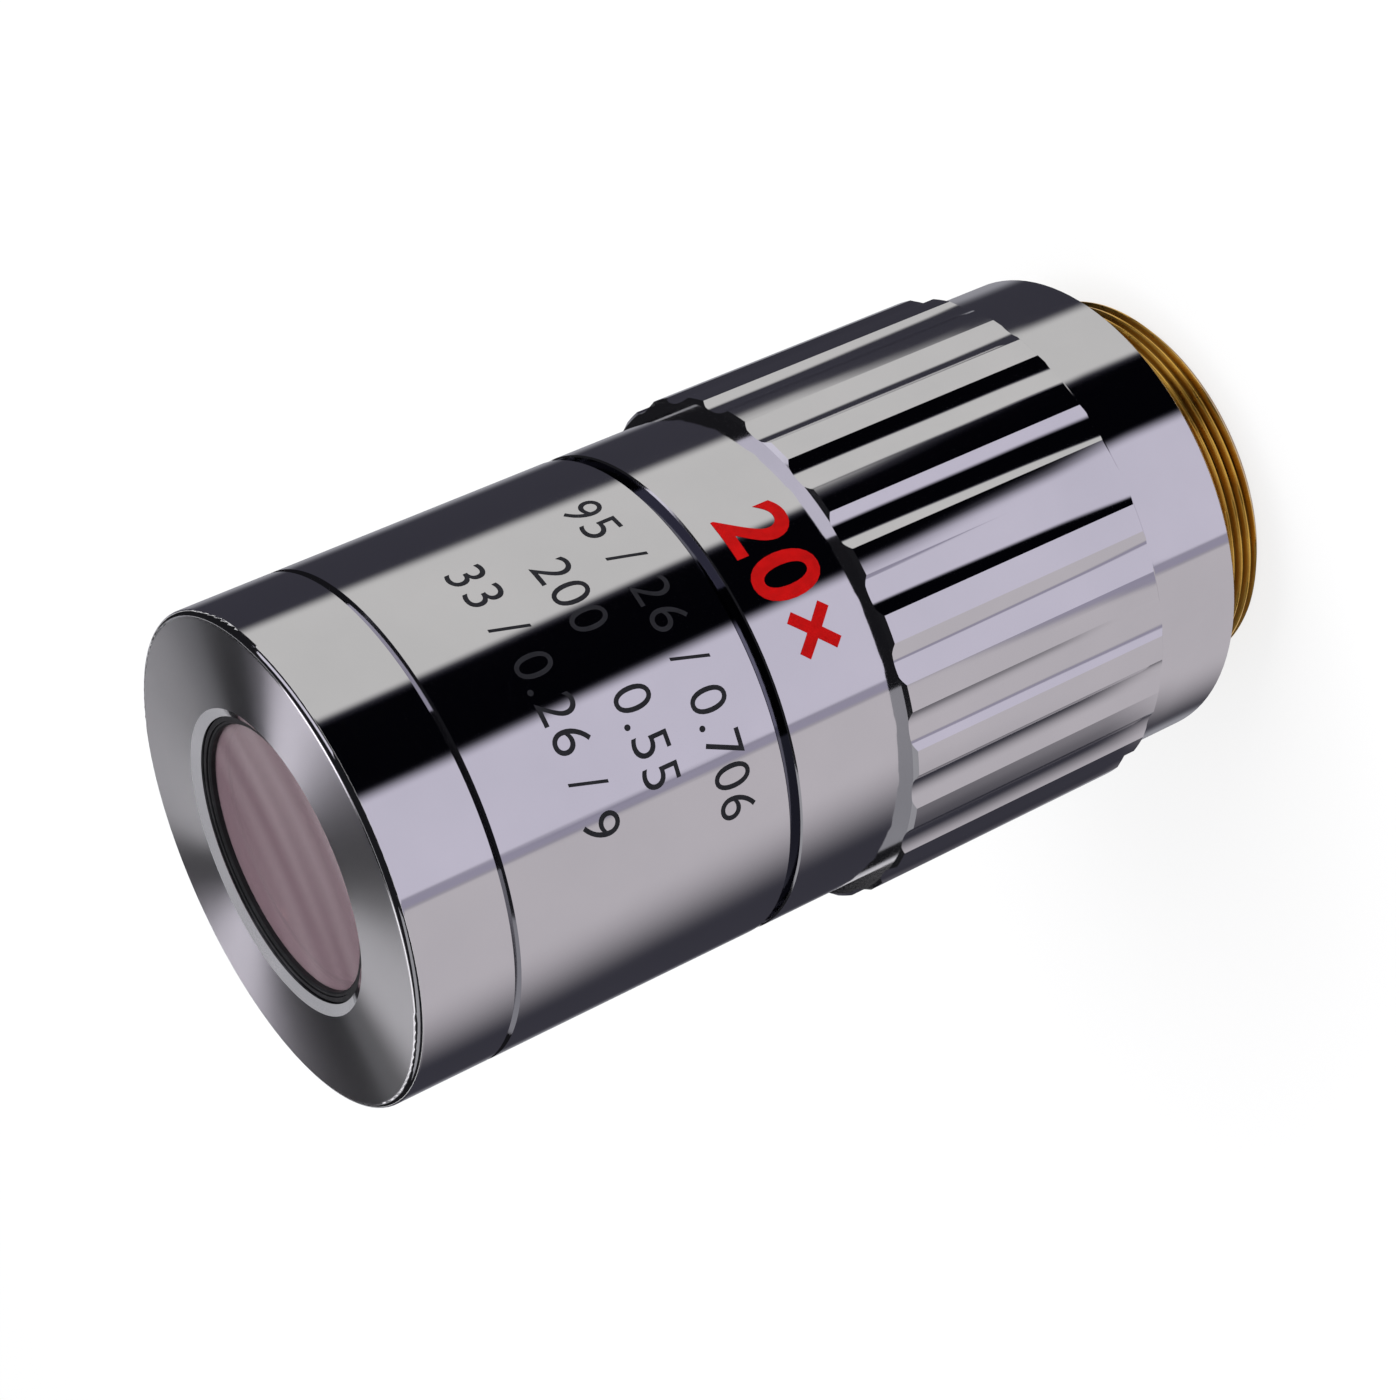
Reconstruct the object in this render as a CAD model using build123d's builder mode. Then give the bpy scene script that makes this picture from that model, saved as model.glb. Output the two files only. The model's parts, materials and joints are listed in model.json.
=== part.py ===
"""Long working distance microscope objective, standing nose up on its threaded end.

Sizes are in millimetres. Heights run up Z, from the end of the thread to the front face.
"""
import os

from build123d import *

# Outer shell: lengths from the thread up
thread_length = 5.0
rear_band_length = 7.0
grip_length = 20.0
neck_length = 7.9
groove_width = 0.75
sleeve_length = 19.55
nose_length = 6.8

# Outer shell: radii and radial steps
thread_radius = 13.0
shoulder_width = 3.0
grip_rise = 1.0
groove_depth = 0.6
nose_rim = 6.75

# Outer shell: edges
joint_chamfer = 0.22
groove_chamfer = 0.1
rear_chamfer = 0.3
grip_chamfer = 0.25
nose_round = 0.45
bevel_width = 0.65
bevel_depth = 0.35

# Flutes round the grip, as hollows of round section
flute_count = 24
flute_radius = 2.95
flute_depth = 0.37

# Mount ring: outside thread with a relief, a flange let into the shoulder, and a shank in the body
thread_chamfer = 0.6
relief_width = 0.8
relief_depth = 0.55
mount_flange = 0.8
recess_gap = 0.1
shank_relief = 1.0
mount_wall = 3.0
port_chamfer = 0.8

# Screwed joints of the shell
screw_fit = 0.03
socket_wall = 1.8
socket_depth = 5.2
socket_relief = 0.2
skirt_wall = 1.8
nose_spigot_wall = 1.54
nose_relief = 1.1
nose_wall = 2.2

# Lens tube and its seat in the body
slide_fit = 0.03
seat_height = 7.0
seat_ledge = 1.1
shim_thickness = 0.5
tube_wall = 1.2

# Retaining ring with a spanner slot, and the aperture stop on it
ring_inset = 0.3
ring_height = 3.0
ring_wall = 4.4
ring_slot_width = 1.6
ring_slot_depth = 1.0
stop_thickness = 0.5
stop_radius = 5.6
stop_bevel = 0.3

# Front cell, whose collar stands in the nose opening, and the ring that holds its lens
flange_thickness = 1.6
front_cell_depth = 4.5
collar_gap = 0.05
collar_wall = 0.3
collar_recess = 0.5
retainer_inset = 0.1
retainer_width = 0.25
retainer_height = 0.4
retainer_bevel = 0.1

# Cells and spacers in the tube
spacer_wall = 1.2
front_spacer_length = 2.5
middle_spacer_length = 1.5
triplet_spacer_length = 3.0
cell_lip = 0.8
cell_inset = 0.3
cell_chamfer = 0.2
lens_seat = 0.5
cement = 0.02

# Front lens: thickness at the edge, and how far its faces stand off their edges
front_lens_edge = 3.0
front_lens_hollow = 0.5
front_lens_rise = 1.65

# Front doublet, a crown over a flint
front_doublet_wall = 1.3
front_crown_edge = 1.8
front_flint_edge = 4.0
front_crown_rise = 1.55
front_cement_rise = 2.4
front_flint_hollow = 0.75

# Middle doublet, a flint over a crown
middle_doublet_wall = 2.35
middle_flint_edge = 3.2
middle_crown_edge = 1.6
middle_flint_rise = 1.45
middle_cement_rise = 2.55
middle_crown_rise = 0.7

# Triplet, a flint between two crowns
triplet_wall = 3.8
upper_crown_edge = 1.4
triplet_flint_edge = 5.2
lower_crown_edge = 1.4
upper_crown_rise = 1.3
upper_cement_rise = 2.2
lower_cement_rise = 1.65
lower_crown_rise = 0.75

# Rear doublet, a meniscus over a negative element
rear_doublet_wall = 4.7
meniscus_edge = 2.2
negative_edge = 2.6
meniscus_rise = 1.65
rear_cement_rise = 0.9
negative_hollow = 2.2

# Heights of the shell
shoulder_z = thread_length
recess_z = shoulder_z + mount_flange
grip_rear_z = shoulder_z + rear_band_length
grip_front_z = grip_rear_z + grip_length
neck_front_z = grip_front_z + neck_length
sleeve_rear_z = neck_front_z + groove_width
sleeve_front_z = sleeve_rear_z + sleeve_length
nose_front_z = sleeve_front_z + nose_length
nose_wall_z = nose_front_z - nose_wall
nose_spigot_z = nose_wall_z - nose_relief
socket_z = sleeve_rear_z + socket_depth
body_spigot_z = socket_z - socket_relief

# Radii, from the outside in
barrel_radius = thread_radius + shoulder_width
grip_radius = barrel_radius + grip_rise
flute_centre = grip_radius - flute_depth + flute_radius
groove_radius = barrel_radius - groove_depth
socket_radius = barrel_radius - socket_wall
body_spigot_radius = socket_radius - screw_fit
skirt_radius = barrel_radius - skirt_wall
nose_spigot_radius = skirt_radius - screw_fit
shell_bore = nose_spigot_radius - nose_spigot_wall
tube_radius = shell_bore - slide_fit
stack_bore = tube_radius - tube_wall
stack_radius = stack_bore - slide_fit
recess_radius = thread_radius + recess_gap
mount_bore = shell_bore - seat_ledge
shank_radius = mount_bore - screw_fit
port_radius = shank_radius - mount_wall
opening_radius = barrel_radius - nose_rim
collar_radius = opening_radius - collar_gap
collar_bore = collar_radius - collar_wall
front_lens_radius = collar_bore - slide_fit
front_clear_radius = front_lens_radius - retainer_width

# Heights of the tube and of what closes its two ends
seat_z = shoulder_z + seat_height
shank_z = seat_z - shank_relief
tube_rear_z = seat_z + shim_thickness
tube_front_z = nose_wall_z - flange_thickness
ring_rear_z = tube_rear_z + ring_inset
ring_front_z = ring_rear_z + ring_height
stop_front_z = ring_front_z + stop_thickness
collar_z = nose_front_z - collar_recess
retainer_front_z = collar_z - retainer_inset
front_lens_z = retainer_front_z - retainer_height
front_seat_z = front_lens_z - front_lens_edge
front_cell_rear_z = tube_front_z - front_cell_depth


def save(builder, name):
    """Labels a finished piece and writes it to its own file."""
    builder.part.label = name
    export_step(builder.part, f"parts/{name}.step")


def outer_rims(builder, count):
    """The widest round edges of a piece."""
    return builder.edges().filter_by(GeomType.CIRCLE).sort_by(SortBy.RADIUS)[-count:]


def make_ring(name, outer, inner, rear_z, front_z):
    """A plain turned ring."""
    with BuildPart() as ring:
        with BuildSketch(Plane.XY.offset(rear_z)):
            Circle(outer)
            Circle(inner, mode=Mode.SUBTRACT)
        extrude(amount=front_z - rear_z)
    save(ring, name)


def make_cell(name, lens_radius, rear_z, front_z):
    """A ring that fits the tube, bored from the front to a lip that the glass sits on."""
    with BuildPart() as cell:
        with BuildSketch(Plane.XY.offset(rear_z)):
            Circle(stack_radius)
        extrude(amount=front_z - rear_z)
        chamfer(outer_rims(cell, 2), cell_chamfer)
        with Locations((0, 0, front_z)):
            CounterBoreHole(
                radius=lens_radius - lens_seat,
                counter_bore_radius=lens_radius + slide_fit,
                counter_bore_depth=front_z - rear_z - cell_lip,
            )
    save(cell, name)


def make_lens(name, radius, front_z, edge, front_rise, rear_rise, front_seat=0.0, rear_seat=0.0):
    """A glass element. A face with a negative rise is hollow, and a seat is a flat round its rim."""
    rear_z = front_z - edge
    front_rim = (radius - front_seat, front_z)
    rear_rim = (radius - rear_seat, rear_z)
    front_vertex = (0, front_z + front_rise)
    rear_vertex = (0, rear_z - rear_rise)
    rim = [(radius, front_z), (radius, rear_z)]
    if front_seat:
        rim.insert(0, front_rim)
    if rear_seat:
        rim.append(rear_rim)
    with BuildPart() as lens:
        with BuildSketch(Plane.XZ):
            with BuildLine():
                TangentArc(front_vertex, front_rim, tangent=(1, 0))
                Polyline(*rim)
                TangentArc(rear_vertex, rear_rim, tangent=(1, 0))
                Line(rear_vertex, front_vertex)
            make_face()
        revolve(axis=Axis.Z)
    save(lens, name)


os.makedirs("parts", exist_ok=True)

# Mount ring: the thread is plain over its crests, and the flange lies flush in the body's shoulder
with BuildPart() as mount_ring:
    with BuildSketch(Plane.XZ):
        with BuildLine():
            Polyline(
                (port_radius, 0),
                (thread_radius, 0),
                (thread_radius, shoulder_z - relief_width),
                (thread_radius - relief_depth, shoulder_z - relief_width),
                (thread_radius - relief_depth, shoulder_z),
                (thread_radius, shoulder_z),
                (thread_radius, recess_z),
                (shank_radius, recess_z),
                (shank_radius, shank_z),
                (port_radius, shank_z),
                close=True,
            )
        make_face()
    revolve(axis=Axis.Z)
    end_edges = mount_ring.edges().group_by(Axis.Z)[0].sort_by(SortBy.RADIUS)
    chamfer(end_edges[-1], thread_chamfer)
    chamfer(mount_ring.edges().group_by(Axis.Z)[0].sort_by(SortBy.RADIUS)[0], port_chamfer)
save(mount_ring, "mount_ring")

# Body: rear band, fluted grip and neck in one piece, with a spigot for the sleeve
with BuildPart() as grip_body:
    with BuildSketch(Plane.XZ):
        with BuildLine():
            Polyline(
                (recess_radius, shoulder_z),
                (barrel_radius - rear_chamfer, shoulder_z),
                (barrel_radius, shoulder_z + rear_chamfer),
                (barrel_radius, grip_rear_z),
                (grip_radius - grip_chamfer, grip_rear_z),
                (grip_radius, grip_rear_z + grip_chamfer),
                (grip_radius, grip_front_z - grip_chamfer),
                (grip_radius - grip_chamfer, grip_front_z),
                (barrel_radius, grip_front_z),
                (barrel_radius, neck_front_z - groove_chamfer),
                (barrel_radius - groove_chamfer, neck_front_z),
                (groove_radius, neck_front_z),
                (groove_radius, sleeve_rear_z),
                (body_spigot_radius, sleeve_rear_z),
                (body_spigot_radius, body_spigot_z),
                (shell_bore, body_spigot_z),
                (shell_bore, seat_z),
                (mount_bore, seat_z),
                (mount_bore, recess_z),
                (recess_radius, recess_z),
                close=True,
            )
        make_face()
    revolve(axis=Axis.Z)
    with BuildSketch(Plane.XY.offset(grip_rear_z)):
        with PolarLocations(flute_centre, flute_count):
            Circle(flute_radius)
    extrude(amount=grip_length, mode=Mode.SUBTRACT)
save(grip_body, "grip_body")

# Sleeve: the marked front half of the barrel, socketed on the body and spigoted into the nose
with BuildPart() as barrel_sleeve:
    with BuildSketch(Plane.XZ):
        with BuildLine():
            Polyline(
                (socket_radius, sleeve_rear_z),
                (barrel_radius - groove_chamfer, sleeve_rear_z),
                (barrel_radius, sleeve_rear_z + groove_chamfer),
                (barrel_radius, sleeve_front_z - joint_chamfer),
                (barrel_radius - joint_chamfer, sleeve_front_z),
                (nose_spigot_radius, sleeve_front_z),
                (nose_spigot_radius, nose_spigot_z),
                (shell_bore, nose_spigot_z),
                (shell_bore, socket_z),
                (socket_radius, socket_z),
                close=True,
            )
        make_face()
    revolve(axis=Axis.Z)
save(barrel_sleeve, "barrel_sleeve")

# Nose cap: a skirt over the sleeve's spigot and a flat front wall with a bevelled opening
with BuildPart() as nose_cap:
    with BuildSketch(Plane.XZ):
        with BuildLine():
            Polyline(
                (skirt_radius, sleeve_front_z),
                (barrel_radius - joint_chamfer, sleeve_front_z),
                (barrel_radius, sleeve_front_z + joint_chamfer),
                (barrel_radius, nose_front_z),
                (opening_radius + bevel_width, nose_front_z),
                (opening_radius, nose_front_z - bevel_depth),
                (opening_radius, nose_wall_z),
                (skirt_radius, nose_wall_z),
                close=True,
            )
        make_face()
    revolve(axis=Axis.Z)
    fillet(nose_cap.edges().group_by(Axis.Z)[-1].sort_by(SortBy.RADIUS)[-1], nose_round)
save(nose_cap, "nose_cap")

# Tube for the lens stack, seated on a shim that sets the focus of this objective in a set
make_ring("parfocal_shim", tube_radius, mount_bore, seat_z, tube_rear_z)
make_ring("lens_tube", tube_radius, stack_bore, tube_rear_z, tube_front_z)

# Retaining ring that closes the stack from behind
with BuildPart() as retaining_ring:
    with BuildSketch(Plane.XY.offset(ring_rear_z)):
        Circle(stack_radius)
        Circle(stack_radius - ring_wall, mode=Mode.SUBTRACT)
    extrude(amount=ring_height)
    with BuildSketch(Plane.XY.offset(ring_rear_z)):
        Rectangle(2 * stack_radius, ring_slot_width)
    extrude(amount=ring_slot_depth, mode=Mode.SUBTRACT)
save(retaining_ring, "retaining_ring")

# Aperture stop, bevelled on the rear side to a thin edge
with BuildPart() as aperture_stop:
    with BuildSketch(Plane.XY.offset(ring_front_z)):
        Circle(stack_radius)
        Circle(stop_radius, mode=Mode.SUBTRACT)
    extrude(amount=stop_thickness)
    chamfer(aperture_stop.edges().group_by(Axis.Z)[0].sort_by(SortBy.RADIUS)[0], stop_bevel)
save(aperture_stop, "aperture_stop")

# Front cell: flange clamped between tube and nose cap, collar in the opening, seat for the lens
with BuildPart() as front_cell:
    with BuildSketch(Plane.XZ):
        with BuildLine():
            Polyline(
                (collar_bore, collar_z),
                (collar_radius, collar_z),
                (collar_radius, nose_wall_z),
                (tube_radius, nose_wall_z),
                (tube_radius, tube_front_z),
                (stack_radius, tube_front_z),
                (stack_radius, front_cell_rear_z),
                (front_clear_radius, front_cell_rear_z),
                (front_clear_radius, front_seat_z),
                (collar_bore, front_seat_z),
                close=True,
            )
        make_face()
    revolve(axis=Axis.Z)
save(front_cell, "front_cell")

make_lens(
    "front_lens", front_lens_radius, front_lens_z, front_lens_edge,
    -front_lens_hollow, front_lens_rise, front_seat=retainer_width, rear_seat=retainer_width,
)

# Black ring that holds the front lens in its collar
with BuildPart() as front_retainer:
    with BuildSketch(Plane.XY.offset(front_lens_z)):
        Circle(front_lens_radius)
        Circle(front_clear_radius, mode=Mode.SUBTRACT)
    extrude(amount=retainer_height)
    chamfer(front_retainer.edges().group_by(Axis.Z)[-1].sort_by(SortBy.RADIUS)[0], retainer_bevel)
save(front_retainer, "front_retainer")

# Front doublet
front_doublet_radius = stack_radius - front_doublet_wall - slide_fit
front_doublet_z = front_cell_rear_z - front_spacer_length
front_crown_z = front_doublet_z - cell_inset
front_flint_z = front_crown_z - front_crown_edge - cement
front_doublet_rear_z = front_flint_z - front_flint_edge - cell_lip
make_ring("front_spacer", stack_radius, stack_radius - spacer_wall, front_doublet_z, front_cell_rear_z)
make_cell("front_doublet_cell", front_doublet_radius, front_doublet_rear_z, front_doublet_z)
make_lens(
    "front_doublet_crown", front_doublet_radius, front_crown_z, front_crown_edge,
    front_crown_rise, front_cement_rise, front_seat=lens_seat,
)
make_lens(
    "front_doublet_flint", front_doublet_radius, front_flint_z, front_flint_edge,
    -front_cement_rise, -front_flint_hollow, rear_seat=lens_seat,
)

# Middle doublet
middle_doublet_radius = stack_radius - middle_doublet_wall - slide_fit
middle_doublet_z = front_doublet_rear_z - middle_spacer_length
middle_flint_z = middle_doublet_z - cell_inset
middle_crown_z = middle_flint_z - middle_flint_edge - cement
middle_doublet_rear_z = middle_crown_z - middle_crown_edge - cell_lip
make_ring(
    "middle_spacer", stack_radius, stack_radius - spacer_wall, middle_doublet_z, front_doublet_rear_z,
)
make_cell("middle_doublet_cell", middle_doublet_radius, middle_doublet_rear_z, middle_doublet_z)
make_lens(
    "middle_doublet_flint", middle_doublet_radius, middle_flint_z, middle_flint_edge,
    middle_flint_rise, -middle_cement_rise, front_seat=lens_seat,
)
make_lens(
    "middle_doublet_crown", middle_doublet_radius, middle_crown_z, middle_crown_edge,
    middle_cement_rise, middle_crown_rise, rear_seat=lens_seat,
)

# Triplet
triplet_radius = stack_radius - triplet_wall - slide_fit
triplet_z = middle_doublet_rear_z - triplet_spacer_length
upper_crown_z = triplet_z - cell_inset
triplet_flint_z = upper_crown_z - upper_crown_edge - cement
lower_crown_z = triplet_flint_z - triplet_flint_edge - cement
triplet_rear_z = lower_crown_z - lower_crown_edge - cell_lip
make_ring("triplet_spacer", stack_radius, stack_radius - spacer_wall, triplet_z, middle_doublet_rear_z)
make_cell("triplet_cell", triplet_radius, triplet_rear_z, triplet_z)
make_lens(
    "triplet_upper_crown", triplet_radius, upper_crown_z, upper_crown_edge,
    upper_crown_rise, upper_cement_rise, front_seat=lens_seat,
)
make_lens(
    "triplet_flint", triplet_radius, triplet_flint_z, triplet_flint_edge,
    -upper_cement_rise, -lower_cement_rise,
)
make_lens(
    "triplet_lower_crown", triplet_radius, lower_crown_z, lower_crown_edge,
    lower_cement_rise, lower_crown_rise, rear_seat=lens_seat,
)

# Rear doublet, built up from the stop, and the long spacer that fills the stack to the triplet
rear_doublet_radius = stack_radius - rear_doublet_wall - slide_fit
negative_z = stop_front_z + cell_lip + negative_edge
meniscus_z = negative_z + cement + meniscus_edge
rear_doublet_z = meniscus_z + cell_inset
make_ring("rear_spacer", stack_radius, stack_radius - spacer_wall, rear_doublet_z, triplet_rear_z)
make_cell("rear_doublet_cell", rear_doublet_radius, stop_front_z, rear_doublet_z)
make_lens(
    "rear_doublet_meniscus", rear_doublet_radius, meniscus_z, meniscus_edge,
    meniscus_rise, -rear_cement_rise, front_seat=lens_seat,
)
make_lens(
    "rear_doublet_negative", rear_doublet_radius, negative_z, negative_edge,
    rear_cement_rise, -negative_hollow, rear_seat=lens_seat,
)
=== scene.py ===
"""Looks of the microscope objective: finishes, mounting thread, markings, studio and camera."""
import json
import math
from collections import namedtuple

import bmesh
import bpy
from mathutils import Matrix, Vector


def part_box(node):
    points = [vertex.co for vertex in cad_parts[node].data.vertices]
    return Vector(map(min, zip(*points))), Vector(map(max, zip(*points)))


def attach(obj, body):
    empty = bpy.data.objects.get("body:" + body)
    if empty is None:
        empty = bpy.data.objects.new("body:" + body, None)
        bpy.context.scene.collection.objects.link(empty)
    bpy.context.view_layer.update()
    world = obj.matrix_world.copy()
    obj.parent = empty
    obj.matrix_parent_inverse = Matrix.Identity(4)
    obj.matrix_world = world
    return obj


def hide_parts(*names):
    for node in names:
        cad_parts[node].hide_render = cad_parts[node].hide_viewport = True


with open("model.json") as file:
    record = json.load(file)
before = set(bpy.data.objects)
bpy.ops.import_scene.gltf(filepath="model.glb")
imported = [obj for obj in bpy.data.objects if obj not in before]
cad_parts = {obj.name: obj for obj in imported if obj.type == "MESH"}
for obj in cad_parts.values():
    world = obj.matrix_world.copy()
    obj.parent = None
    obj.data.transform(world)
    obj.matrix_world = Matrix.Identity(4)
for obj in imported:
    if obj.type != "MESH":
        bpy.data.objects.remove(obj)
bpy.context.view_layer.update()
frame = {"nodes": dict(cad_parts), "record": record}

# The frame is in metres
mm = 0.001
inch = 25.4 * mm

# Sizes taken from the frame
_, ring_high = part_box("mount_ring")
body_low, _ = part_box("grip_body")
sleeve_low, sleeve_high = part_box("barrel_sleeve")
cap_low, cap_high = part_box("nose_cap")
thread_radius = ring_high.x
ring_top_z = ring_high.z
shoulder_z = body_low.z
groove_front_z = sleeve_low.z
barrel_radius = sleeve_high.x
joint_z = cap_low.z
front_z = cap_high.z

# Places that the frame's boxes don't give: the step in front of the grip and the bevel round the opening
step_z = 32 * mm
bevel_radius = 0.6 * barrel_radius

# Mounting thread, with the turned steps of the ring round it
thread_pitch = inch / 36
thread_depth = 0.40 * mm
crest_share = 0.16
root_power = 1.2
worn_depth = 0.1 * thread_depth
thread_chamfer = 0.6 * mm
relief_width = 0.8 * mm
relief_radius = thread_radius - 0.55 * mm
flange_height = 0.8 * mm
shank_radius = thread_radius - 1.5 * mm
port_radius = thread_radius - 4.5 * mm
port_chamfer = 0.8 * mm
thread_steps_round = 288
thread_steps_up = 72
sharp_angle = math.radians(35)

# The flat front face is told from the rest of the shell by its height and by how far its normal points up
face_depth = 0.1 * mm
face_normal_start = 0.95
face_normal_end = 0.99

# Turned grain of that face, which wanders from true circles in three lobes: the angle by which it wanders,
# the number of lobes and the angle by which they are turned round the axis
grain_wander = math.radians(-10)
grain_lobes = 3.0
grain_turn = math.radians(5)

# Painted shade in the groove behind the sleeve, and the dull edges of the joint in front of it
groove_width = 0.76 * mm
groove_edge = 0.12 * mm
groove_shade_tone = (0.16, 0.16, 0.20)
joint_half = 0.23 * mm
joint_tone = (0.54, 0.53, 0.57)

# Markings: plain numbers, painted on the barrel and read from the nose side. The angle runs round the barrel
# in degrees, and the weight thickens or thins the strokes.
Marking = namedtuple("Marking", "name text angle z letter_size weight")
red_size = 6.4 * mm
red_weight = 0.12 * mm
black_size = 3.6 * mm
black_weight = -0.02 * mm
red_markings = [
    Marking("red_number", "20×", -11, 36.3 * mm, red_size, red_weight),
]
black_markings = [
    Marking("black_number_1", "33 / 0.26 / 9", -10.5, 53.5 * mm, black_size, black_weight),
    Marking("black_number_2", "200   0.55", -9, 48.9 * mm, black_size, black_weight),
    Marking("black_number_3", "95 / 26 / 0.706", -8.5, 44.4 * mm, black_size, black_weight),
]
paint_height = 0.012 * mm
paint_slice = 0.4 * mm
letter_spacing = 1.08
letter_smoothness = 6

# Camera, as fitted to the photograph
camera_place = Vector((0.0, -201.07, 138.67)) * mm
camera_target = Vector((-1.52, 0.0, 36.7)) * mm
camera_roll = math.radians(114.2)
camera_clip = 10 * mm
focal_length = 91.816
sensor_width = 36.0

# White floor, which is mostly lit evenly and for the rest takes the shadow
floor_half = 2000 * mm
floor_glow = 0.8
floor_paper = (0.9, 0.9, 0.9)

# Cards laid on the floor round the objective, which the barrel mirrors as its long bands. Each has the
# angles round the barrel at which it starts and ends, as the rear band, the grip, the neck and the nose show
# them, the widths of its soft edges and its tone. A later card lies over an earlier one.
FloorCard = namedtuple("FloorCard", "starts ends soft_start soft_end tone")
floor_surround = (0.042, 0.041, 0.054)
floor_cards = [
    FloorCard((-110, -110, -110, -110), (-71, -74.6, -77, -77), 6, 8, (0.30, 0.30, 0.33)),
    FloorCard((-46.5, -49.5, -51.5, -53), (-27.5, -25.7, -24.5, -23), 4, 2, (0.62, 0.615, 0.60)),
    FloorCard((-26.5, -24.7, -23.5, -22), (-10.5, -8.7, -7.5, -5.5), 2, 2, (0.001, 0.001, 0.002)),
    FloorCard((-9.5, -7.7, -6.5, -4.5), (20, 18.8, 18, 17.5), 3, 1, (0.63, 0.60, 0.71)),
    FloorCard((20, 18.8, 18, 17.5), (22, 20.8, 20, 19.5), 1, 1, (0.33, 0.31, 0.40)),
    FloorCard((22, 20.8, 20, 19.5), (62, 48.5, 46.5, 53), 1, 24, (0.55, 0.52, 0.55)),
    FloorCard((74, 79, 82, 80), (110, 110, 110, 110), 8, 6, (0.30, 0.30, 0.33)),
]
card_reach = 89
card_steps_a_degree = 2
card_lift = 0.1 * mm

# Distances from the barrel: where those four parts of it mirror the floor, and where the cards are painted
edge_distances = [part * mm for part in (14, 28, 52, 165)]
card_rows = [part * mm for part in (0, 14, 18, 22, 26, 30, 36, 42, 48, 54, 60, 80, 110, 140, 165, 900)]

# Cards hung over the objective, which the turned grain of the front face spreads into a fan. Each has the
# bearings on the face, from -Y towards +X, at which it starts and ends, its soft edges and its tone. The
# tilts are those of the grain's sides that mirror the cards.
HungCard = namedtuple("HungCard", "start end soft_start soft_end tone")
fan_surround = (0.004, 0.004, 0.005)
fan_cards = [
    HungCard(-72, -19, 40, 8, (1.3, 1.28, 1.32)),
    HungCard(9.5, 38, 20, 7, (2.2, 2.1, 2.3)),
    HungCard(82, 110, 14, 10, (0.52, 0.52, 0.55)),
]
fan_reach = 100
fan_tilts = [9, 12, 15, 18, 21, 24.5]
hung_distance = 1500 * mm

# A bright arch that shows as the thin line round the bevelled opening
arch_tone = (0.45, 0.45, 0.47)
arch_start = 70
arch_end = 290
arch_tilts = [26.5, 28.3, 30]

# Panels that stand round the objective and show on the step in front of the grip and on other upward faces.
# Each has the bearings from +Y towards +X and the elevations, in degrees, between which the step sees it.
Panel = namedtuple("Panel", "bearing_from bearing_to low high tone")
panels = [
    Panel(80, 148, 18, 40, (0.72, 0.70, 0.80)),
    Panel(-138, -45, 18, 40, (0.34, 0.34, 0.36)),
]
panel_distance = 700 * mm

# Soft light from all round in a studio whose walls mirror dark, and a broad lamp overhead
soft_light_tone = (0.80, 0.80, 0.82)
dark_wall_tone = (0.012, 0.012, 0.014)
lamp_size = 0.6
lamp_watts = 6.0
lamp_place = Vector((0.35, -0.25, 0.8))

# Sockets of the Mix node for share, first and second value and result, because their names repeat
mix_sockets = {"RGBA": (0, 6, 7, 2), "FLOAT": (0, 2, 3, 0)}


def add_node(tree, kind, inputs=None, **settings):
    """A shader node with its settings and inputs, where an input is a value or another node's socket."""
    node = tree.nodes.new(kind)
    for key, value in settings.items():
        setattr(node, key, value)
    for key, value in (inputs or {}).items():
        if isinstance(value, bpy.types.NodeSocket):
            tree.links.new(value, node.inputs[key])
        else:
            node.inputs[key].default_value = value
    return node


def socket_name(key):
    """The shader's name for a socket that is written as a plain word, such as thin_film_ior."""
    return key.replace("_", " ").title().replace("Ior", "IOR")


def new_material(name, **constants):
    """A material with its shader and tree. The constants are set on the shader's own sockets."""
    material = bpy.data.materials.new(name)
    material.use_nodes = True
    tree = material.node_tree
    shader = tree.nodes["Principled BSDF"]
    for key, value in constants.items():
        shader.inputs[socket_name(key)].default_value = value
    return material, tree, shader


def wire(tree, shader, **sockets):
    """Links other nodes' sockets to the shader's."""
    for key, socket in sockets.items():
        tree.links.new(socket, shader.inputs[socket_name(key)])


def bare_material(name):
    """A material's tree with nothing in it, for the studio's own shaders."""
    material = bpy.data.materials.new(name)
    material.use_nodes = True
    material.node_tree.nodes.clear()
    return material, material.node_tree


def object_place(tree):
    """The node that gives the place and normal of a surface point in the part's frame."""
    return tree.nodes.get("Place") or add_node(tree, "ShaderNodeTexCoord", name="Place")


def split(tree, vector):
    """The X, Y and Z of a vector."""
    parts = add_node(tree, "ShaderNodeSeparateXYZ", {"Vector": vector})
    return parts.outputs["X"], parts.outputs["Y"], parts.outputs["Z"]


def noise(tree, size, detail=3.0, squash=(1.0, 1.0, 1.0), place=None):
    """Noise with features of about that size in metres, stretched along the axes with a small squash."""
    source = place or object_place(tree).outputs["Object"]
    mapping = add_node(tree, "ShaderNodeMapping", {"Vector": source, "Scale": squash})
    texture = add_node(
        tree, "ShaderNodeTexNoise",
        {"Vector": mapping.outputs["Vector"], "Scale": 1.0 / size, "Detail": detail, "Roughness": 0.55},
    )
    return texture.outputs["Fac"]


def spread(tree, value, low=0.0, high=1.0, start=0.3, end=0.7):
    """A value that runs from start to end, brought to the range from low to high."""
    node = add_node(
        tree, "ShaderNodeMapRange",
        {"Value": value, "From Min": start, "From Max": end, "To Min": low, "To Max": high},
    )
    return node.outputs["Result"]


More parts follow.
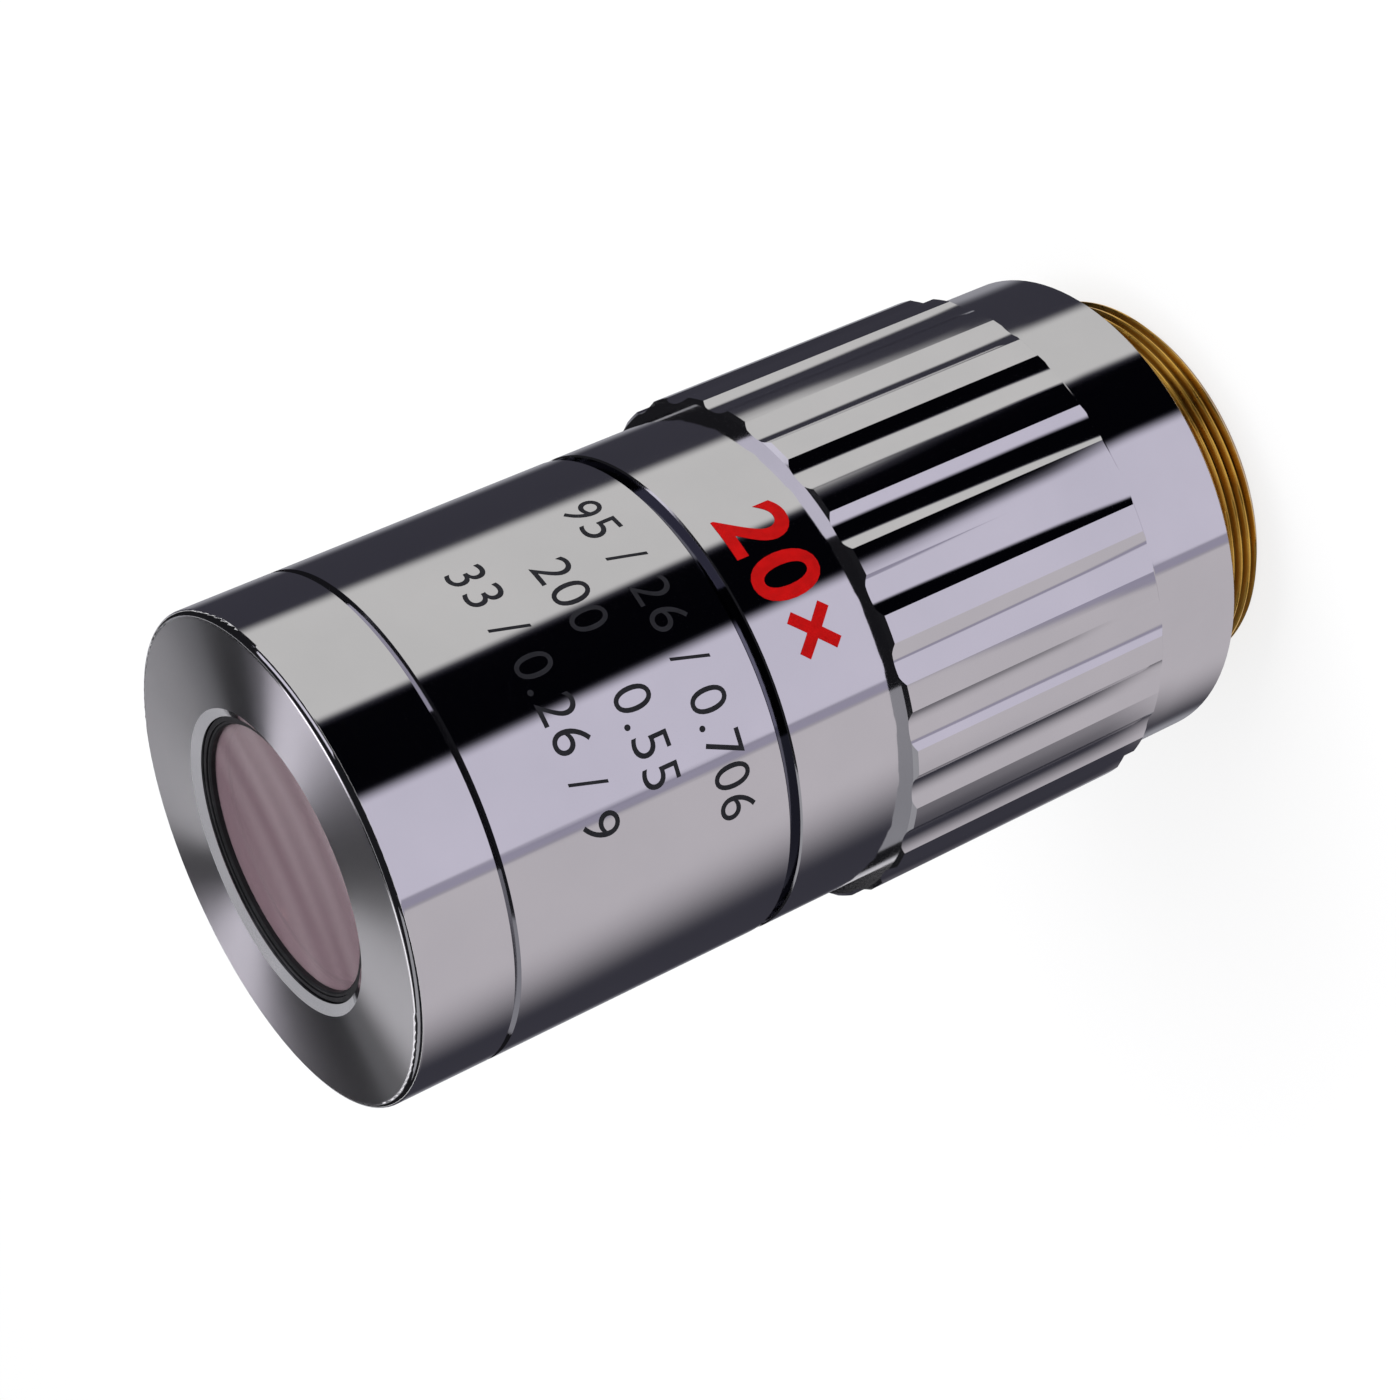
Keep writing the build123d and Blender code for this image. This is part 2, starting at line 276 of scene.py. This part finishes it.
def blend(tree, share, first, second, kind="RGBA"):
    """A colour between two colours or, with the kind FLOAT, a number between two nodes' numbers."""
    node = add_node(tree, "ShaderNodeMix", data_type=kind)
    *inputs, result = mix_sockets[kind]
    for key, value in zip(inputs, (share, first, second)):
        if isinstance(value, bpy.types.NodeSocket):
            tree.links.new(value, node.inputs[key])
        else:
            node.inputs[key].default_value = (*value, 1.0)
    return node.outputs[result]


def math_node(tree, operation, first, second=0.0):
    """One step of arithmetic on sockets or numbers."""
    node = add_node(tree, "ShaderNodeMath", {0: first, 1: second}, operation=operation)
    return node.outputs["Value"]


def ring_place(tree):
    """A place of radius and height alone, so that texture on it goes round the axis as lathe marks."""
    x, y, z = split(tree, object_place(tree).outputs["Object"])
    flat = add_node(tree, "ShaderNodeCombineXYZ", {"X": x, "Y": y, "Z": 0.0})
    radius = add_node(tree, "ShaderNodeVectorMath", {0: flat.outputs["Vector"]}, operation="LENGTH")
    place = add_node(tree, "ShaderNodeCombineXYZ", {"X": radius.outputs["Value"], "Y": 0.0, "Z": z})
    return place.outputs["Vector"]


def bump(tree, shader, height, distance, strength=1.0):
    """Fine relief on a surface, with its real height in metres."""
    node = add_node(
        tree, "ShaderNodeBump", {"Height": height, "Distance": distance, "Strength": strength},
    )
    wire(tree, shader, normal=node.outputs["Normal"])


def face_share(tree, height):
    """1 on the flat front face, and 0 elsewhere."""
    _, _, upward = split(tree, object_place(tree).outputs["Normal"])
    facing_up = spread(tree, upward, start=face_normal_start, end=face_normal_end)
    at_front = math_node(tree, "GREATER_THAN", height, front_z - face_depth)
    return math_node(tree, "MULTIPLY", facing_up, at_front)


def turned_grain(tree, face):
    """Direction of the lathe marks: round the axis, with the wander of the lobes where the face is."""
    x, y, _ = split(tree, object_place(tree).outputs["Object"])
    bearing = math_node(tree, "ARCTAN2", x, math_node(tree, "MULTIPLY", y, -1.0))
    lobes = math_node(tree, "MULTIPLY", math_node(tree, "ADD", bearing, grain_turn), grain_lobes)
    wander = math_node(tree, "MULTIPLY", math_node(tree, "SINE", lobes), grain_wander)
    wander = math_node(tree, "MULTIPLY", wander, face)
    round_axis = add_node(tree, "ShaderNodeTangent", direction_type="RADIAL", axis="Z")
    grain = add_node(
        tree, "ShaderNodeVectorRotate", {"Vector": round_axis.outputs["Tangent"], "Angle": wander},
        rotation_type="Z_AXIS",
    )
    return grain.outputs["Vector"]


def groove_shade_share(tree, radius, height):
    """1 inside the groove, where its shade is painted dark, and 0 elsewhere."""
    sunk = math_node(tree, "LESS_THAN", radius, barrel_radius - groove_edge)
    above = math_node(tree, "GREATER_THAN", height, groove_front_z - groove_width)
    below = math_node(tree, "LESS_THAN", height, groove_front_z)
    return math_node(tree, "MULTIPLY", sunk, math_node(tree, "MULTIPLY", above, below))


def joint_share(tree, height):
    """1 on the edges of the joint line, and 0 elsewhere."""
    from_joint = math_node(tree, "ABSOLUTE", math_node(tree, "SUBTRACT", height, joint_z))
    return math_node(tree, "LESS_THAN", from_joint, joint_half)


def chrome_finish():
    """Bright plate on a turned surface. The flat front face has a coarser grain and is left unpolished."""
    material, tree, shader = new_material(
        "chrome_plate", metallic=1.0, anisotropic=1.0, anisotropic_rotation=0.25,
    )
    rings = ring_place(tree)
    radius, _, height = split(tree, rings)
    face = face_share(tree, height)
    polish = spread(tree, noise(tree, 5 * mm, detail=4.0), low=0.058, high=0.066)
    turned = spread(tree, noise(tree, 0.25 * mm, place=rings), low=0.30, high=0.36)
    haze = spread(tree, noise(tree, 9 * mm, detail=5.0))
    plate = blend(tree, haze, (0.80, 0.79, 0.81), (0.75, 0.745, 0.765))
    plate = blend(tree, joint_share(tree, height), plate, joint_tone)
    # Painted shade: the groove is painted dark
    plate = blend(tree, groove_shade_share(tree, radius, height), plate, groove_shade_tone)
    wire(
        tree, shader, base_color=plate, tangent=turned_grain(tree, face),
        roughness=blend(tree, face, polish, turned, kind="FLOAT"),
    )
    marks = noise(tree, 0.18 * mm, detail=2.0, place=rings)
    bump(tree, shader, marks, distance=0.0003 * mm, strength=0.5)
    return material


def brass_finish():
    """Bare brass, bright on the crests of the thread and dull in its roots."""
    material, tree, shader = new_material("bare_brass", metallic=1.0)
    rings = ring_place(tree)
    radius, _, _ = split(tree, rings)
    crest = spread(tree, radius, start=thread_radius - thread_depth, end=thread_radius - worn_depth)
    patches = spread(tree, noise(tree, 2.5 * mm, detail=5.0))
    bright = blend(tree, patches, (0.66, 0.39, 0.075), (0.53, 0.29, 0.05))
    wire(
        tree, shader, base_color=blend(tree, crest, (0.27, 0.13, 0.02), bright),
        roughness=spread(tree, noise(tree, 1.2 * mm, detail=4.0), low=0.24, high=0.40),
    )
    marks = noise(tree, 0.15 * mm, detail=2.0, place=rings)
    bump(tree, shader, marks, distance=0.002 * mm, strength=0.6)
    return material


def black_finish(name, tint, smoothest, roughest):
    """A matt blackened metal with the lathe's marks under it."""
    material, tree, shader = new_material(name, metallic=0.0, specular_ior_level=0.35)
    patches = spread(tree, noise(tree, 1.5 * mm, detail=4.0))
    darker = tuple(0.6 * part for part in tint)
    wire(
        tree, shader, base_color=blend(tree, patches, tint, darker),
        roughness=spread(tree, noise(tree, 0.6 * mm), low=smoothest, high=roughest),
    )
    marks = noise(tree, 0.12 * mm, detail=2.0, place=ring_place(tree))
    bump(tree, shader, marks, distance=0.004 * mm, strength=0.5)
    return material


def steel_finish():
    """Ground steel."""
    material, tree, shader = new_material("ground_steel", metallic=1.0)
    grain = noise(tree, 0.2 * mm, squash=(1.0, 0.1, 1.0))
    wire(
        tree, shader, roughness=spread(tree, grain, low=0.25, high=0.45),
        base_color=blend(tree, noise(tree, 2 * mm), (0.56, 0.56, 0.57), (0.48, 0.48, 0.50)),
    )
    return material


def glass_finish(name, ior, first, second):
    """Polished glass, barely tinted."""
    material, tree, shader = new_material(name, transmission_weight=1.0, ior=ior)
    wire(
        tree, shader, base_color=blend(tree, noise(tree, 4 * mm), first, second),
        roughness=spread(tree, noise(tree, 3 * mm), low=0.0, high=0.012),
    )
    return material


def coated_finish():
    """Glass under a mauve coating. Its colour carries painted reflections of the lens stack as long bands,
    and grows darker towards +Y.
    """
    material, tree, shader = new_material(
        "coated_glass", transmission_weight=0.7, ior=1.62, thin_film_thickness=105.0, thin_film_ior=1.38,
    )
    _, y, _ = split(tree, object_place(tree).outputs["Object"])
    shift = spread(tree, y, low=-0.5, high=0.5, start=-7 * mm, end=7 * mm)
    # Painted reflections of the lens stack, laid into the colour as long bands
    reflection_bands = spread(tree, noise(tree, 3 * mm, detail=0.5, squash=(0.12, 1.0, 1.0)))
    depth = math_node(tree, "ADD", reflection_bands, shift)
    wire(
        tree, shader, base_color=blend(tree, depth, (0.72, 0.57, 0.62), (0.46, 0.32, 0.37)),
        roughness=spread(tree, noise(tree, 1.5 * mm, detail=4.0), low=0.02, high=0.06),
    )
    return material


def paint_finish(name, tint):
    """Stoved enamel, a little uneven."""
    material, tree, shader = new_material(name, specular_ior_level=0.06)
    patches = spread(tree, noise(tree, 0.8 * mm, detail=4.0))
    darker = tuple(0.75 * part for part in tint)
    wire(
        tree, shader, base_color=blend(tree, patches, tint, darker),
        roughness=spread(tree, noise(tree, 0.3 * mm), low=0.38, high=0.55),
    )
    return material


def dress_nodes(finishes):
    """Gives each CAD node the finish of its slot in the record."""
    for subpart in frame["record"]["subparts"]:
        for slot in frame["nodes"][subpart["node"]].material_slots:
            slot.material = finishes[subpart["material_slot"]]


def add_object(name, data):
    """Puts a mesh, curve, lamp or camera in the scene."""
    added = bpy.data.objects.new(name, data)
    bpy.context.scene.collection.objects.link(added)
    return added


def add_piece(name, mesh, material):
    """Puts a new piece of the object in the scene, on the part's one body."""
    piece = add_object(name, mesh)
    mesh.materials.append(material)
    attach(piece, "root")
    return piece


def thread_form(share):
    """Depth of the thread at a share of its pitch: a flat crest, two flanks and a round root."""
    from_crest = abs((share + 0.5) % 1.0 - 0.5) * 2
    flank = max(0.0, (from_crest - crest_share) / (1 - crest_share))
    return thread_depth * math.sin(flank * math.pi / 2) ** root_power


def thread_row(height):
    """Radii round the ring at a height of the thread, which climbs as a right-hand helix."""
    radii = []
    for turn in range(thread_steps_round):
        radius = thread_radius - thread_form(height / thread_pitch - turn / thread_steps_round)
        radii.append(min(radius, thread_radius - thread_chamfer + height))
    return radii


def make_thread_ring(material):
    """The brass ring with its thread, then over the relief, flange and shank and back through the port."""
    thread_top = shoulder_z - relief_width
    heights = [thread_top * step / thread_steps_up for step in range(thread_steps_up + 1)]
    rows = [(height, thread_row(height)) for height in heights]
    turned_steps = [
        (thread_top, relief_radius),
        (shoulder_z, relief_radius),
        (shoulder_z, thread_radius),
        (shoulder_z + flange_height, thread_radius),
        (shoulder_z + flange_height, shank_radius),
        (ring_top_z, shank_radius),
        (ring_top_z, port_radius),
        (port_chamfer, port_radius),
        (0.0, port_radius + port_chamfer),
    ]
    rows += [(height, [radius] * thread_steps_round) for height, radius in turned_steps]
    points = []
    for height, radii in rows:
        for turn, radius in enumerate(radii):
            angle = 2 * math.pi * turn / thread_steps_round
            points.append((radius * math.cos(angle), radius * math.sin(angle), height))
    faces = []
    for row in range(len(rows)):
        above = (row + 1) % len(rows)
        for turn in range(thread_steps_round):
            beside = (turn + 1) % thread_steps_round
            faces.append((
                row * thread_steps_round + turn,
                row * thread_steps_round + beside,
                above * thread_steps_round + beside,
                above * thread_steps_round + turn,
            ))
    mesh = bpy.data.meshes.new("thread_ring")
    mesh.from_pydata(points, [], faces)
    mesh.shade_smooth()
    mesh.set_sharp_from_angle(angle=sharp_angle)
    piece = add_piece("thread_ring", mesh, material)
    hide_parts("mount_ring")


def flat_numbers(marking):
    """A flat mesh of a marking's numbers."""
    curve = bpy.data.curves.new(marking.name, "FONT")
    curve.body = marking.text
    curve.size = marking.letter_size
    curve.align_x = "CENTER"
    curve.align_y = "CENTER"
    curve.offset = marking.weight
    curve.space_character = letter_spacing
    curve.resolution_u = letter_smoothness
    flat = add_object(marking.name + "_flat", curve)
    bpy.context.view_layer.update()
    mesh = bpy.data.meshes.new_from_object(flat.evaluated_get(bpy.context.evaluated_depsgraph_get()))
    bpy.data.objects.remove(flat)
    mesh.name = marking.name
    return mesh


def make_marking(marking, material):
    """Numbers painted round the barrel, with their tops towards the mount."""
    mesh = flat_numbers(marking)
    sheet = bmesh.new()
    sheet.from_mesh(mesh)
    across = [vertex.co.x for vertex in sheet.verts]
    cut = min(across)
    while cut < max(across):
        everything = sheet.verts[:] + sheet.edges[:] + sheet.faces[:]
        bmesh.ops.bisect_plane(sheet, geom=everything, plane_co=(cut, 0, 0), plane_no=(1, 0, 0))
        cut += paint_slice
    radius = barrel_radius + paint_height
    for vertex in sheet.verts:
        angle = math.radians(marking.angle) + vertex.co.x / barrel_radius
        vertex.co = (-radius * math.sin(angle), -radius * math.cos(angle), marking.z - vertex.co.y)
    sheet.to_mesh(mesh)
    sheet.free()
    mesh.materials.clear()
    mesh.shade_smooth()
    add_piece(marking.name, mesh, material)


def stage_mesh(name, points, faces, material):
    """A piece of the studio, which isn't part of the object."""
    mesh = bpy.data.meshes.new(name)
    mesh.from_pydata(points, [], faces)
    mesh.materials.append(material)
    piece = add_object(name, mesh)
    return piece


def only_mirrored(piece):
    """Shows a card in reflections alone."""
    piece.visible_camera = False
    piece.visible_diffuse = False
    piece.visible_transmission = False
    piece.visible_shadow = False


def floor_material():
    """A white floor that still takes a faint shadow."""
    material, tree = bare_material("white_floor")
    path = add_node(tree, "ShaderNodeLightPath")
    seen = math_node(tree, "ADD", path.outputs["Is Camera Ray"], path.outputs["Is Glossy Ray"])
    seen = math_node(tree, "ADD", seen, path.outputs["Is Transmission Ray"])
    share = math_node(tree, "MULTIPLY", math_node(tree, "MINIMUM", seen, 1.0), floor_glow)
    paper = add_node(tree, "ShaderNodeBsdfDiffuse", {"Color": (*floor_paper, 1.0)})
    white = add_node(tree, "ShaderNodeEmission", {"Color": (1.0, 1.0, 1.0, 1.0), "Strength": 1.0})
    mixed = add_node(
        tree, "ShaderNodeMixShader",
        {0: share, 1: paper.outputs["BSDF"], 2: white.outputs["Emission"]},
    )
    add_node(tree, "ShaderNodeOutputMaterial", {"Surface": mixed.outputs["Shader"]})
    return material


def card_material(name, tone=None):
    """A card that glows with one tone, or with a tone painted on its points, as a sheet of light that is no
    lamp.
    """
    material, tree = bare_material(name)
    if tone is None:
        colour = add_node(tree, "ShaderNodeVertexColor", layer_name="tone").outputs["Color"]
    else:
        colour = (*tone, 1.0)
    glow = add_node(tree, "ShaderNodeEmission", {"Color": colour, "Strength": 1.0})
    add_node(tree, "ShaderNodeOutputMaterial", {"Surface": glow.outputs["Emission"]})
    return material


def smooth_step(value, start, end):
    """0 before start, 1 after end, and an even rise between them."""
    share = min(1.0, max(0.0, (value - start) / (end - start)))
    return share * share * (3 - 2 * share)


def show_card(under, angle, start, end, card):
    """The tone at an angle once a card lies over what is under it, with its edges softened."""
    shown = smooth_step(angle, start - card.soft_start / 2, start + card.soft_start / 2)
    shown *= 1 - smooth_step(angle, end - card.soft_end / 2, end + card.soft_end / 2)
    return under.lerp(Vector(card.tone), shown)


def edge_at(angles, distance):
    """Angle of a floor card's edge at a distance from the barrel."""
    angle = angles[0]
    for index in range(1, len(angles)):
        share = smooth_step(distance, edge_distances[index - 1], edge_distances[index])
        angle += share * (angles[index] - angles[index - 1])
    return angle


def floor_tone(angle, distance):
    """Tone of the floor cards where the barrel mirrors them, at a distance from it."""
    tone = Vector(floor_surround)
    for card in floor_cards:
        start = edge_at(card.starts, distance)
        end = edge_at(card.ends, distance)
        tone = show_card(tone, angle, start, end, card)
    return tone


def fan_tone(bearing):
    """Tone of the hung cards at a bearing on the front face."""
    tone = Vector(fan_surround)
    for card in fan_cards:
        tone = show_card(tone, bearing, card.start, card.end, card)
    return tone


def mirrored(along, normal):
    """A direction after it is mirrored by a surface with that normal."""
    return along - 2 * along.dot(normal) * normal


def paint_sheet(name, rows, tones):
    """A sheet through rows of points, with a tone on each point, seen in mirrors alone."""
    across = len(rows[0])
    faces = []
    for row in range(len(rows) - 1):
        for step in range(across - 1):
            first = row * across + step
            faces.append((first, first + 1, first + across + 1, first + across))
    points = [point for row in rows for point in row]
    sheet = stage_mesh(name, points, faces, card_material(name))
    layer = sheet.data.color_attributes.new("tone", "FLOAT_COLOR", "POINT")
    for index, tone in enumerate(tone for row in tones for tone in row):
        layer.data[index].color = (*tone, 1.0)
    only_mirrored(sheet)


def make_floor():
    """Lays the floor under the objective."""
    corners = [
        (-floor_half, -floor_half, 0), (floor_half, -floor_half, 0),
        (floor_half, floor_half, 0), (-floor_half, floor_half, 0),
    ]
    stage_mesh("floor", corners, [(0, 1, 2, 3)], floor_material())


def make_floor_cards():
    """Lays the cards out along the lines on the floor that one line up the barrel mirrors."""
    level_camera = Vector((camera_place.x, camera_place.y, 0.0))
    lift = Vector((0.0, 0.0, card_lift))
    steps = card_reach * card_steps_a_degree
    rows = []
    tones = []
    for step in range(-steps, steps + 1):
        angle = step / card_steps_a_degree
        turn = math.radians(angle)
        out = Vector((-math.sin(turn), -math.cos(turn), 0.0))
        start = barrel_radius * out
        away = mirrored(start - level_camera, out).normalized()
        rows.append([start + distance * away + lift for distance in card_rows])
        tones.append([floor_tone(angle, distance) for distance in card_rows])
    paint_sheet("floor_cards", rows, tones)


def hung_row(radius, bearing, tilts, lean):
    """Points of a hung sheet that one place on the front face mirrors as its surface tilts further."""
    turn = math.radians(bearing)
    out = Vector((math.sin(turn), -math.cos(turn), 0.0))
    point = radius * out + Vector((0.0, 0.0, front_z))
    row = []
    for tilt in tilts:
        tilt_turn = math.radians(tilt)
        normal = lean * math.sin(tilt_turn) * out + Vector((0.0, 0.0, math.cos(tilt_turn)))
        row.append(point + hung_distance * mirrored((point - camera_place).normalized(), normal))
    return row


def make_hung_cards():
    """Hangs the cards of the fan, for grain that leans out, and the arch, for the bevel that leans in."""
    bearings = range(-fan_reach, fan_reach + 1)
    rows = [hung_row(0.0, bearing, fan_tilts, lean=1) for bearing in bearings]
    paint_sheet("fan_cards", rows, [[fan_tone(bearing)] * len(fan_tilts) for bearing in bearings])
    bearings = range(arch_start, arch_end + 1)
    rows = [hung_row(bevel_radius, bearing, arch_tilts, lean=-1) for bearing in bearings]
    paint_sheet("bevel_arch", rows, [[Vector(arch_tone)] * len(arch_tilts) for bearing in bearings])


def make_panels():
    """Stands the panels round the step."""
    step = Vector((0.0, 0.0, step_z))
    for number, panel in enumerate(panels, start=1):
        corners = []
        for bearing, elevation in (
            (panel.bearing_from, panel.low), (panel.bearing_to, panel.low),
            (panel.bearing_to, panel.high), (panel.bearing_from, panel.high),
        ):
            turn = math.radians(bearing)
            rise = math.tan(math.radians(elevation))
            corners.append(step + panel_distance * Vector((math.sin(turn), math.cos(turn), rise)))
        material = card_material(f"panel_{number}", panel.tone)
        only_mirrored(stage_mesh(f"panel_{number}", corners, [(0, 1, 2, 3)], material))


def make_world():
    """Soft light for the object, and dark walls for what mirrors them."""
    world = bpy.data.worlds.new("studio")
    world.use_nodes = True
    tree = world.node_tree
    soft_light = tree.nodes["Background"]
    soft_light.inputs["Color"].default_value = (*soft_light_tone, 1.0)
    dark_walls = add_node(tree, "ShaderNodeBackground", {"Color": (*dark_wall_tone, 1.0)})
    path = add_node(tree, "ShaderNodeLightPath")
    studio = add_node(
        tree, "ShaderNodeMixShader",
        {
            0: path.outputs["Is Glossy Ray"],
            1: soft_light.outputs["Background"],
            2: dark_walls.outputs["Background"],
        },
    )
    wire(tree, tree.nodes["World Output"], surface=studio.outputs["Shader"])
    bpy.context.scene.world = world


def make_lamp():
    """A broad lamp overhead, which shows in no mirror."""
    data = bpy.data.lights.new("overhead", "AREA")
    data.size = lamp_size
    data.energy = lamp_watts
    lamp = add_object("overhead", data)
    lamp.location = lamp_place
    lamp.rotation_euler = (-lamp_place).to_track_quat("-Z", "Y").to_euler()
    lamp.visible_glossy = False


def make_camera():
    """The camera at the photograph's viewing angle."""
    forward = (camera_target - camera_place).normalized()
    level = forward.cross(Vector((0, 0, 1))).normalized()
    right = Matrix.Rotation(camera_roll, 3, forward) @ level
    up = right.cross(forward)
    data = bpy.data.cameras.new("camera")
    data.lens = focal_length
    data.sensor_width = sensor_width
    data.clip_start = camera_clip
    camera = add_object("camera", data)
    axes = Matrix((right, up, -forward)).transposed().to_4x4()
    camera.matrix_world = Matrix.Translation(camera_place) @ axes
    bpy.context.scene.camera = camera


# The object
finishes = {
    "chrome_shell": chrome_finish(),
    "brass_thread": brass_finish(),
    "black_alloy": black_finish("black_anodised", (0.014, 0.014, 0.016), 0.42, 0.6),
    "black_brass": black_finish("blackened_brass", (0.018, 0.016, 0.013), 0.45, 0.65),
    "steel_shim": steel_finish(),
    "coated_glass": coated_finish(),
    "crown_glass": glass_finish("crown_glass", 1.52, (0.97, 0.985, 0.99), (0.95, 0.975, 0.98)),
    "flint_glass": glass_finish("flint_glass", 1.70, (0.985, 0.98, 0.95), (0.975, 0.965, 0.93)),
}
dress_nodes(finishes)
make_thread_ring(finishes["brass_thread"])
red_paint = paint_finish("red_paint", (0.46, 0.001, 0.001))
black_paint = paint_finish("black_paint", (0.018, 0.018, 0.022))
for marking in red_markings:
    make_marking(marking, red_paint)
for marking in black_markings:
    make_marking(marking, black_paint)

# The studio
make_floor()
make_floor_cards()
make_hung_cards()
make_panels()
make_world()
make_lamp()
make_camera()
bpy.context.scene.view_settings.view_transform = "Standard"
